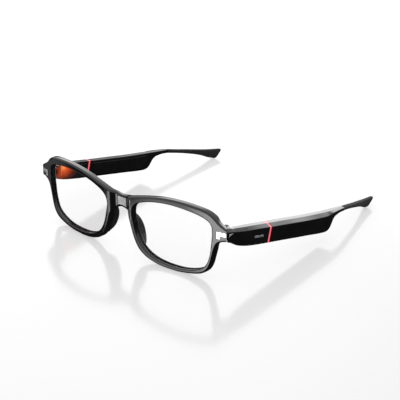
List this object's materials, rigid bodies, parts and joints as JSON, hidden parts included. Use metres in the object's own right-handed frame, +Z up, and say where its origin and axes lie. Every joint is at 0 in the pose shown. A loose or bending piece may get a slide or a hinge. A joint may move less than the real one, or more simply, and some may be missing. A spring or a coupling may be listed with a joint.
{
  "type": "smart glasses",
  "caption": "Full-rim smart glasses with clear lenses, thick electronic temples on barrel hinges, coral rings and rubber ear tips, standing open.",
  "frame": {"origin": "middle of the bounding box's bottom face, on the surface that the open glasses stand on, under the rims and the ear tips", "axes": "+Z up, -Y the way the lenses face, +X the wearer's left"},
  "size_m": [0.1508, 0.1489, 0.0408],
  "materials": {
    "gloss_black": "polished piano-black injection-moulded plastic",
    "cover_black": "black satin-gloss inner cover",
    "glow_cover": "smoked inner cover that a status light shines through",
    "pad_black": "smooth black moulded nose pad",
    "tip_rubber": "matte soft-touch dark grey rubber",
    "clear_lens": "clear plano lens with an anti-reflection coat",
    "accent_coral": "coral red plastic ring",
    "silver_trim": "polished silver trim",
    "hinge_steel": "machined stainless steel",
    "hinge_black": "stainless steel with a black finish",
    "contact_gold": "gold-plated contact",
    "board_green": "green solder-masked circuit board with black chips",
    "cell_foil": "foil-wrapped lithium cell",
    "matte_black": "matte black moulded plastic",
    "status_amber": "amber status light"
  },
  "bodies": {
    "front": {"front_frame": "gloss_black", "lens_left": "clear_lens", "nose_pad_left": "pad_black", "front_rivet_left": "silver_trim", "hinge_front_leaf_left": "hinge_black", "hinge_screw_left": "hinge_black", "lens_right": "clear_lens", "nose_pad_right": "pad_black", "front_rivet_right": "silver_trim", "hinge_front_leaf_right": "hinge_black", "hinge_screw_right": "hinge_black"},
    "temple_left": {"hinge_temple_leaf_left": "hinge_black", "temple_front_housing_left": "gloss_black", "temple_front_cover_left": "cover_black", "temple_trim_left": "silver_trim", "accent_ring_left": "accent_coral", "temple_rear_housing_left": "gloss_black", "temple_rear_cover_left": "cover_black", "ear_tip_left": "tip_rubber", "tip_core_left": "hinge_steel", "battery_left": "cell_foil", "circuit_board_left": "board_green", "microphone_left": "hinge_steel", "speaker_left": "matte_black", "speaker_grille_left": "matte_black", "charge_contact_front_left": "contact_gold", "charge_contact_rear_left": "contact_gold", "temple_badge_left": "silver_trim"},
    "temple_right": {"hinge_temple_leaf_right": "hinge_black", "temple_front_housing_right": "gloss_black", "temple_front_cover_right": "glow_cover", "temple_trim_right": "silver_trim", "accent_ring_right": "accent_coral", "temple_rear_housing_right": "gloss_black", "temple_rear_cover_right": "cover_black", "ear_tip_right": "tip_rubber", "tip_core_right": "hinge_steel", "battery_right": "cell_foil", "circuit_board_right": "board_green", "microphone_right": "hinge_steel", "speaker_right": "matte_black", "speaker_grille_right": "matte_black", "charge_contact_front_right": "contact_gold", "charge_contact_rear_right": "contact_gold", "button_switch_right": "matte_black", "status_led_right": "status_amber"},
    "button": {"power_button_right": "matte_black"}
  },
  "joints": [
    {"name": "temple_left_fold", "type": "hinge", "parent": "front", "child": "temple_left", "pos_m": [0.066, -0.05968, 0.0269], "axis": [0, 0, 1], "range_deg": [0, 88]},
    {"name": "temple_right_fold", "type": "hinge", "parent": "front", "child": "temple_right", "pos_m": [-0.066, -0.05968, 0.0269], "axis": [0, 0, -1], "range_deg": [0, 76]},
    {"name": "power_button_press", "type": "slide", "parent": "temple_right", "child": "button", "axis": [0, 0.1867, 0.9824], "range_m": [0, 0.0004], "stiffness_N_per_m": 800, "springref_m": -0.0006}
  ]
}
